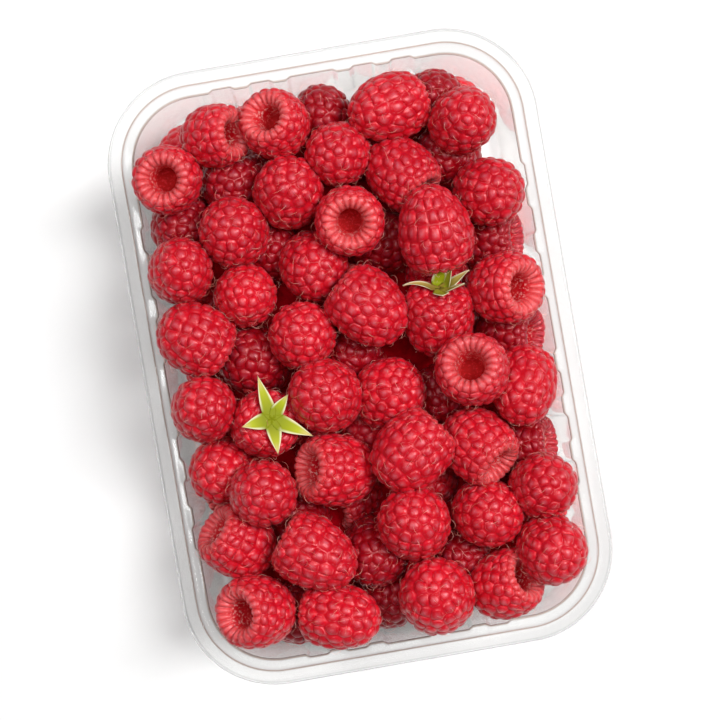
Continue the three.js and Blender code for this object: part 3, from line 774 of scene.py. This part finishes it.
def hair_surface(berry, points, values, rng):
    """Fine curved hairs that start on a berry's beads and lie back along it."""
    middle = np.array([berry.x, berry.y, berry.z])
    tops = np.flatnonzero((values["crease"] == 0) & (values["hollow"] < 0.05))
    tops = tops[points[tops, 2] > berry.z - HAIR_ZONE]
    hairs = []
    for start in rng.choice(tops, min(HAIR_COUNT, len(tops)), replace=False):
        root = points[start]
        out = (root - middle) / np.linalg.norm(root - middle)
        sweep = np.cross(out, rng.normal(size=3))
        sweep /= np.linalg.norm(sweep)
        bend = np.cross(out, sweep) * rng.uniform(-HAIR_BEND, HAIR_BEND)
        length = between(HAIR_LENGTH, rng.random())
        lift = rng.uniform(*HAIR_LIFT)
        line = []
        for step in range(HAIR_STEPS + 1):
            t = step / HAIR_STEPS
            rise = lift * sin(t * HAIR_ARCH)
            sideways = (sweep * t + bend * t * t) * length * HAIR_REACH
            line.append(root + sideways + out * (rise * length - HAIR_DROOP * t * t))
        hairs.append(hair_tube(np.array(line)))
    return joined(hairs)


def hair_tube(line):
    """A thin closed tube that narrows to a point along a line."""
    along = np.gradient(line, axis=0)
    along /= np.linalg.norm(along, axis=1)[:, None]
    side = np.cross(along, HAIR_SIDE)
    side /= np.linalg.norm(side, axis=1)[:, None]
    other = np.cross(along, side)
    rings = []
    for step, place in enumerate(line[:-1]):
        radius = HAIR_RADIUS * (1 - HAIR_TAPER * step / HAIR_STEPS)
        for corner in range(HAIR_SIDES):
            turn = 2 * pi * corner / HAIR_SIDES
            rings.append(place + radius * (cos(turn) * side[step] + sin(turn) * other[step]))
    points = np.array([*rings, line[-1]])
    tip = len(points) - 1
    faces = [(0, 2, 1)]
    for step in range(HAIR_STEPS - 1):
        for corner in range(HAIR_SIDES):
            a = step * HAIR_SIDES + corner
            b = step * HAIR_SIDES + (corner + 1) % HAIR_SIDES
            faces += [(a, b, b + HAIR_SIDES), (a, b + HAIR_SIDES, a + HAIR_SIDES)]
    for corner in range(HAIR_SIDES):
        last = (HAIR_STEPS - 1) * HAIR_SIDES
        faces.append((last + corner, last + (corner + 1) % HAIR_SIDES, tip))
    return points, faces, {}


def piece_for(berry):
    """The name of the piece that a berry goes into, by its kind."""
    if not berry.shown:
        return "berries_hidden"
    if berry.shown[2] <= FINE_Z:
        return "berries_under"
    if berry.tilt > OPEN_TILT:
        return "berries_open"
    if berry.tilt > LYING_TILT:
        return "berries_lying"
    return "berries_tip_up" if berry.y > 0 else "berries_tip_up_front"


def make_berries(berries):
    groups = {}
    hairs = []
    for index, berry in enumerate(berries):
        rng = np.random.default_rng(BERRY_SEED + index)
        detail = FINE_BEADS if berry.shown else PLAIN_BEADS
        plugged = index in (STAR_BERRY, SIDE_BERRY)
        surface = berry_surface(berry, detail, CONES.get(index, 0), plugged, rng)
        groups.setdefault(piece_for(berry), []).append(surface)
        if berry.shown:
            hairs.append(hair_surface(berry, surface[0], surface[2], rng))
    skin, down = berry_material(), hair_material()
    pieces = [(name, surfaces, skin) for name, surfaces in groups.items()]
    for name, surfaces, material in [*pieces, ("berry_hairs", hairs, down)]:
        points, faces, values = joined(surfaces)
        points[:, 2] = np.clip(points[:, 2], LOWEST_BERRY, HIGHEST_BERRY)
        piece_from_arrays(name, points, faces, values, material, "berry", "berry_heap")


def make_core(material):
    """The middle of the heap, painted dark red as the shade deep between the berries, which closes the
    gaps that look down between them.
    """
    stations = tray_stations()
    rings = [tray_ring(stations, level) for level in CORE_LEVELS]
    points, faces = closed_rings(rings, (0, 0, CORE_LEVELS[0][1]), (0, 0, CORE_LEVELS[-1][1]))
    piece_from_arrays("heap_core", points, faces, {}, material, "berry", "berry_heap")


# Tray

def closed_rings(rings, first_middle, last_middle):
    """Rings of equal count joined into one closed skin, with a middle point at each end."""
    count = len(rings[0])
    points = np.concatenate([np.array([first_middle]), *rings, np.array([last_middle])])
    last = len(points) - 1
    faces = []
    for i in range(count):
        j = (i + 1) % count
        faces.append((0, 1 + i, 1 + j))
        for level in range(len(rings) - 1):
            near = 1 + level * count
            far = near + count
            faces += [(near + i, far + i, far + j), (near + i, far + j, near + j)]
        faces.append((last, last - count + j, last - count + i))
    return points, faces


def side_stations(side):
    """Places along one side of the tray, and whether the wall stands in at each."""
    half = []
    edges = []
    for middle in side["ribs"]:
        edges += [(middle - side["rib_width"] / 2, 0, 1), (middle + side["rib_width"] / 2, 1, 0)]
    edges.append((side["corner_start"], 0, 1))
    for edge, before, after in edges:
        for step in range(RAMP_STEPS + 1):
            t = step / RAMP_STEPS
            ease = t * t * (3 - 2 * t)
            half.append((edge + (t - 0.5) * RIB_RAMP, before + (after - before) * ease))
    return [(-along, share) for along, share in reversed(half)] + half


def tray_stations():
    """The same round the tray: points on an inner rectangle, the direction out of it, and that share."""
    stations = []
    for side in range(4):
        across = side % 2 == 0
        side_angle = side * pi / 2
        ahead, aside = round(cos(side_angle)), round(sin(side_angle))
        out, along = (REACH_X, REACH_Y) if across else (REACH_Y, REACH_X)
        side_shape = side_stations(LONG_SIDE if across else SHORT_SIDE)
        places = [(step, share, side_angle) for step, share in side_shape]
        for turn in range(CORNER_STEPS + 1):
            places.append((along, 1, side_angle + turn / CORNER_STEPS * pi / 2))
        for step, share, angle in places:
            stations.append((ahead * out - aside * step, aside * out + ahead * step, angle, share))
    return np.array(stations)


def tray_ring(stations, level):
    """One level line round the tray, from its inset, its height and its share of the ribs."""
    inset, z, rib_share = level
    radius = RIM_CORNER_RADIUS - inset - RIB_DEPTH * rib_share * stations[:, 3]
    x = stations[:, 0] + radius * np.cos(stations[:, 2])
    y = stations[:, 1] + radius * np.sin(stations[:, 2])
    return np.stack([x, y, np.full(len(x), z)], axis=1)


def offset_profile(profile, distance):
    """The sheet's other face, at a distance from the profile of the first."""
    moved = []
    for index, (inset, z, rib_share) in enumerate(profile):
        before = profile[max(index - 1, 0)]
        after = profile[min(index + 1, len(profile) - 1)]
        first = Vector((z - before[1], before[0] - inset))
        second = Vector((after[1] - z, inset - after[0]))
        if index == 0:
            first = second.copy()
        if index == len(profile) - 1:
            second = Vector((0, -1))
        first.normalize()
        second.normalize()
        mitre = (first + second).normalized()
        reach = distance / mitre.dot(second)
        moved.append((inset + mitre.x * reach, z + mitre.y * reach, rib_share))
    return moved


def rounded_profile(profile):
    """The profile with each corner turned into a small arc, and a wide one at the foot, and how dark the
    painted refraction line along each corner is at each point."""
    smooth = [profile[0]]
    painted_lines = [0.0]
    for index, (before, corner, after) in enumerate(zip(profile, profile[1:], profile[2:]), 1):
        corner_point = np.array(corner)
        reach = FOOT_RADIUS if corner[1] < WALL_FOOT_Z + 1 else FOLD_RADIUS
        ends = []
        for other in (before, after):
            leg = np.array(other) - corner_point
            span = hypot(leg[0], leg[1])
            ends.append(corner_point + leg * min(reach / span, ARC_SHARE))
        for step in range(ARC_STEPS + 1):
            t = step / ARC_STEPS
            bent = (1 - t) ** 2 * ends[0] + 2 * t * (1 - t) * corner_point + t * t * ends[1]
            smooth.append(tuple(bent))
            painted_lines.append(sin(pi * t) * PAINTED_LINE_DARKNESS.get(index, 0.0))
    floor_edge = (FLOOR_INSET + FLOOR_EDGE, *profile[-1][1:])
    return [*smooth, profile[-1], floor_edge], [*painted_lines, 0.0, 0.0]


def tray_surface():
    inside = [
        (0, TRAY_HEIGHT - LIP_DROP, 0),
        (LIP_SHOULDER, TRAY_HEIGHT - SHOULDER_DROP, 0),
        (RIM_FOLD, TRAY_HEIGHT, 0),
        (FLANGE_WIDTH, TRAY_HEIGHT, 0),
        (FLANGE_WIDTH + STEP_LEAN, LEDGE_Z + SHOWN_LEDGE_FALL, 0),
        (LEDGE_INSET, LEDGE_Z, 1),
        (WALL_FOOT_INSET, WALL_FOOT_Z, 1),
        ((WALL_FOOT_INSET * 2 + FLOOR_INSET) / 3, WALL_FOOT_Z * FOOT_KNEE, KNEE_RIB_SHARE),
        (FLOOR_INSET, SHOWN_SHEET, 0),
    ]
    outside = offset_profile(inside, SHOWN_SHEET)
    inner, inner_painted_lines = rounded_profile(inside)
    outer, outer_painted_lines = rounded_profile(outside)
    stations = tray_stations()
    rings = [tray_ring(stations, level) for level in inner[::-1] + outer]
    points, faces = closed_rings(rings, (0, 0, SHOWN_SHEET), (0, 0, 0))
    painted_lines = np.repeat(inner_painted_lines[::-1] + outer_painted_lines, len(stations))
    below_ledge = np.clip((LEDGE_Z - points[:, 2]) / TINT_TOP, 0, 1)
    above_foot = np.clip((points[:, 2] - TINT_FOOT) / TINT_RISE, 0, 1)
    values = {"painted_fold_line": np.concatenate([[0.0], painted_lines, [0.0]]), "painted_wall_tint": below_ledge * above_foot}
    return points, faces, values


# Leaves

def sepal_point(sepal, share, across):
    """A point on a sepal's upper face and the way up there, by share along and -1 to 1 across."""
    heading, length, width, lift, curl = sepal
    turn = radians(heading)
    along, rise, angle = HUB_RADIUS, 0.0, radians(lift)
    for step in range(SEPAL_STEPS):
        angle = radians(lift + curl * share * step / SEPAL_STEPS)
        along += cos(angle) * share * (length - HUB_RADIUS) / SEPAL_STEPS
        rise += sin(angle) * share * (length - HUB_RADIUS) / SEPAL_STEPS
    up = Vector((-sin(angle) * cos(turn), -sin(angle) * sin(turn), cos(angle)))
    side = Vector((sin(turn), -cos(turn), 0))
    wave = sin(pi * (SEPAL_START + (1 - SEPAL_START) * share))
    half = width / 2 * max(wave, 0) ** SEPAL_FULLNESS
    middle = Vector((along * cos(turn), along * sin(turn), rise))
    return middle + side * half * across + up * LEAF_CUP * across**2, up


def root_point(sepal, share, across):
    """The same where a sepal runs on under the hub, with a share below 0."""
    place, up = sepal_point(sepal, 0, across * (1 + share * 2))
    turn = radians(sepal[0])
    return place + Vector((cos(turn), sin(turn), 0)) * share / SEPAL_ROOT * HUB_RADIUS, up


def sheet_faces():
    """Triangles of a sepal: its upper points come row by row, and its lower ones after them."""
    width = SEPAL_COLUMNS + 1
    count = width * (SEPAL_ROWS + 1)
    faces = []
    for row in range(SEPAL_ROWS):
        for column in range(SEPAL_COLUMNS):
            a = row * width + column
            b, c, d = a + 1, a + width + 1, a + width
            faces += [(a, b, c), (a, c, d)]
            faces += [(a + count, c + count, b + count), (a + count, d + count, c + count)]
    last = SEPAL_ROWS * width
    rim = [row * width for row in range(SEPAL_ROWS)]
    rim += [last + column for column in range(SEPAL_COLUMNS)]
    rim += [last + SEPAL_COLUMNS - row * width for row in range(SEPAL_ROWS)]
    rim += [SEPAL_COLUMNS - column for column in range(SEPAL_COLUMNS)]
    for a, b in zip(rim, rim[1:] + rim[:1]):
        faces += [(a, b, b + count), (a, b + count, a + count)]
    return np.array(faces)


def sepal_surface(sepal, dry):
    """One thin sepal, closed, with its edge value, its share along and how dry it is."""
    upper, lower, edge, along = [], [], [], []
    for row in range(SEPAL_ROWS + 1):
        share = -SEPAL_ROOT + (1 + SEPAL_ROOT) * row / SEPAL_ROWS
        find = sepal_point if share >= 0 else root_point
        for column in range(SEPAL_COLUMNS + 1):
            across = 2 * column / SEPAL_COLUMNS - 1
            place, up = find(sepal, share, across)
            thinned = (1 - EDGE_THINNING * abs(across)) * (1 - TIP_THINNING * max(share, 0))
            upper.append(place)
            lower.append(place - up * LEAF_THICKNESS * thinned)
            edge.append(abs(across))
            along.append(max(share, 0))
    points = np.array([tuple(point) for point in upper + lower])
    dryness = np.full(len(points), dry)
    return points, sheet_faces(), {"edge": edge * 2, "along": along * 2, "dry": dryness}


def make_leaves(name, node, sepals, dryness, berry, material):
    points, faces, values = joined([sepal_surface(sepal, dry) for sepal, dry in zip(sepals, dryness)])
    outward = -Vector(berry.tip)
    turn = Vector((0, 0, 1)).rotation_difference(outward).to_matrix()
    reach = berry.length * LEAF_REST + GAP + LEAF_THICKNESS
    centre = Vector((berry.x, berry.y, berry.z)) + outward * reach
    points = points @ np.array(turn).T + np.array(centre)
    piece_from_arrays(name, points, faces, values, material, "leaf", node)


# Materials

class Graph:
    """A material's nodes, with short names for the few kinds that are used here."""

    def __init__(self, name):
        self.material = bpy.data.materials.new(name)
        self.material.use_nodes = True
        self.nodes = self.material.node_tree.nodes
        self.links = self.material.node_tree.links
        self.shader = self.nodes["Principled BSDF"]

    def value(self, name):
        node = self.nodes.new("ShaderNodeAttribute")
        node.attribute_name = name
        return node.outputs["Fac"]

    def ramp(self, source, stops):
        """Colours at places along a value, where a single number is a grey."""
        ramp = self.nodes.new("ShaderNodeValToRGB")
        self.links.new(source, ramp.inputs["Fac"])
        elements = ramp.color_ramp.elements
        while len(elements) < len(stops):
            elements.new(0.5)
        for element, (place, color) in zip(elements, stops):
            element.position = place
            element.color = (*color, 1) if isinstance(color, tuple) else (color, color, color, 1)
        return ramp.outputs["Color"]

    def mix(self, first, second, factor=1.0, blend="MIX"):
        mix = self.nodes.new("ShaderNodeMix")
        mix.data_type = "RGBA"
        mix.blend_type = blend
        for index, source in ((0, factor), (6, first), (7, second)):
            if isinstance(source, bpy.types.NodeSocket):
                self.links.new(source, mix.inputs[index])
            else:
                mix.inputs[index].default_value = (*source, 1) if isinstance(source, tuple) else source
        return mix.outputs[2]

    def product(self, first, second):
        return self.mix(first, second, blend="MULTIPLY")

    def noise(self, kind):
        coordinates = self.nodes.new("ShaderNodeTexCoord")
        noise = self.nodes.new("ShaderNodeTexNoise")
        for name, value in zip(("Scale", "Detail", "Roughness"), NOISES[kind]):
            noise.inputs[name].default_value = value
        self.links.new(coordinates.outputs["Object"], noise.inputs["Vector"])
        return noise.outputs["Fac"]

    def bump(self, kind, strength, distance):
        bump = self.nodes.new("ShaderNodeBump")
        bump.inputs["Strength"].default_value = strength
        bump.inputs["Distance"].default_value = distance
        self.links.new(self.noise(kind), bump.inputs["Height"])
        self.links.new(bump.outputs["Normal"], self.shader.inputs["Normal"])

    def finish(self, look, color=None):
        if color:
            self.links.new(color, self.shader.inputs["Base Color"])
        for name, value in look.items():
            self.shader.inputs[name].default_value = value
        return self.material


def skin_color(graph):
    """The bead's colour from its top to its crease, with painted highlights on its top, arcs of fuzz and
    flutes, a painted sheen on its down, and painted shade by the heap's depth.
    """
    crease = graph.value("crease")
    # Skin with a painted highlight on the bead tops and a painted lift in the creases
    toned = graph.product(graph.ramp(crease, SKIN_AND_PAINTED_LIGHT_COLORS), graph.ramp(graph.value("tone"), BEAD_TONES))
    # Pale arcs of fuzz, partly a painted highlight
    arcs = graph.product(graph.ramp(crease, ARC_BAND), graph.ramp(graph.noise("arcs"), ARC_PATCHES))
    edged = graph.mix(toned, ARC_FUZZ_AND_HIGHLIGHT_COLOR, arcs)
    # Pale down, partly a painted sheen on the beads' tops
    down = graph.product(graph.ramp(graph.noise("down"), DOWN_SPECKS), graph.ramp(crease, DOWN_AND_SHEEN_ON_TOPS))
    with_down_and_sheen = graph.mix(edged, DOWN_AND_SHEEN_COLOR, down)
    # The flutes' painted highlight
    ridged = graph.mix(with_down_and_sheen, FLUTE_HIGHLIGHT_COLOR, graph.value("flute_highlight"))
    # Times the painted shade of the heap's depth, or the top layer's random tone
    return graph.product(ridged, graph.ramp(graph.value("tone_and_depth_shade"), PAINTED_DEPTH_SHADES))


def berry_material():
    graph = Graph("raspberry_skin")
    hollow = graph.value("hollow")
    speckle = graph.ramp(graph.noise("hollow"), HOLLOW_SPECKS)
    # The hollow's specks, darkened by a painted shade with depth
    hollow_with_painted_shade = graph.product(speckle, graph.ramp(hollow, HOLLOW_PAINTED_SHADE))
    color = graph.mix(skin_color(graph), hollow_with_painted_shade, graph.ramp(hollow, HOLLOW_SHARE))
    roughness = graph.ramp(hollow, SKIN_ROUGHNESS)
    graph.links.new(roughness, graph.shader.inputs["Roughness"])
    graph.bump("skin", 0.35, 0.00008)
    return graph.finish(BERRY_LOOK, color)


def core_material():
    graph = Graph("heap_painted_shade")
    return graph.finish(CORE_LOOK, graph.ramp(graph.noise("core"), CORE_PAINTED_SHADE_COLORS))


def hair_material():
    graph = Graph("berry_down")
    return graph.finish(HAIR_LOOK, graph.ramp(graph.noise("hair"), HAIR_COLORS))


def leaf_material():
    graph = Graph("sepal_green")
    along = graph.value("along")
    fresh, dried = graph.ramp(along, FRESH_LEAF), graph.ramp(along, DRIED_LEAF)
    body = graph.mix(fresh, dried, graph.value("dry"))
    border = graph.ramp(graph.value("edge"), LEAF_BORDER)
    pale = graph.product(border, graph.ramp(along, LEAF_BORDER_START))
    graph.bump("leaf", 0.4, 0.0001)
    return graph.finish(LEAF_LOOK, graph.mix(body, LEAF_BORDER_COLOR, pale))


def tray_material():
    """Clear sheet, which lets most of the light through to what lies in its shadow."""
    graph = Graph("clear_sheet")
    # The wall's painted shade and painted reflection of the berries
    sheet = graph.ramp(graph.value("painted_wall_tint"), SHEET_AND_PAINTED_WALL_COLORS)
    # Painted lines of refraction along the sheet's folds
    tint = graph.product(sheet, graph.ramp(graph.value("painted_fold_line"), PAINTED_LINE_COLORS))
    graph.bump("sheet", 0.1, 0.0003)
    nodes, links = graph.nodes, graph.links
    paths = nodes.new("ShaderNodeLightPath")
    through = nodes.new("ShaderNodeBsdfTransparent")
    through.inputs["Color"].default_value = SHADOW_COLOR
    mix = nodes.new("ShaderNodeMixShader")
    links.new(paths.outputs["Is Shadow Ray"], mix.inputs["Fac"])
    links.new(graph.shader.outputs["BSDF"], mix.inputs[1])
    links.new(through.outputs["BSDF"], mix.inputs[2])
    links.new(mix.outputs["Shader"], nodes["Material Output"].inputs["Surface"])
    return graph.finish(SHEET_LOOK, tint)


# Stage

def make_floor():
    mesh = bpy.data.meshes.new("floor")
    corners = [(x * FLOOR_REACH, y * FLOOR_REACH, 0) for x, y in ((-1, -1), (1, -1), (1, 1), (-1, 1))]
    mesh.from_pydata(corners, [], [(0, 1, 2, 3)])
    mesh.materials.append(Graph("studio_floor").finish(FLOOR_LOOK))
    floor = new_object("floor", mesh)
    floor.location.z = -FLOOR_DROP


def make_light():
    world = bpy.data.worlds.new("studio")
    world.use_nodes = True
    background = world.node_tree.nodes["Background"]
    background.inputs["Color"].default_value = (1.0, 1.0, 1.0, 1)
    background.inputs["Strength"].default_value = SKY_STRENGTH
    bpy.context.scene.world = world
    for name, (place, size, power) in LAMPS.items():
        light = bpy.data.lights.new(name, "AREA")
        light.shape = "DISK"
        light.size = size
        light.energy = power
        lamp = new_object(name, light)
        lamp.location = place
        lamp.rotation_mode = "QUATERNION"
        lamp.rotation_quaternion = Vector(place).to_track_quat("Z", "Y")


def make_camera():
    camera_data = bpy.data.cameras.new("camera")
    camera_data.lens = CAMERA_LENS
    camera_data.sensor_width = CAMERA_SENSOR
    camera_data.clip_start = 0.01
    camera = new_object("camera", camera_data)
    turn = radians(CAMERA_TURN)
    up = Vector((sin(turn), cos(turn), 0))
    camera.location = (Vector((0, 0, CAMERA_HEIGHT)) - up * CAMERA_SHIFT) * MM
    camera.rotation_euler = (0, 0, -turn)
    bpy.context.scene.camera = camera


make_camera()
make_light()
make_floor()
heap = settled_heap()
make_berries(heap)
make_core(core_material())
leaf = leaf_material()
make_leaves("sepals_top", "leaves_top", STAR_SEPALS, STAR_DRY, heap[STAR_BERRY], leaf)
make_leaves("sepals_side", "leaves_side", SIDE_SEPALS, SIDE_DRY, heap[SIDE_BERRY], leaf)
piece_from_arrays("clear_tray", *tray_surface(), tray_material(), "clear_plastic", "tray")

bpy.context.scene.view_settings.view_transform = "Standard"
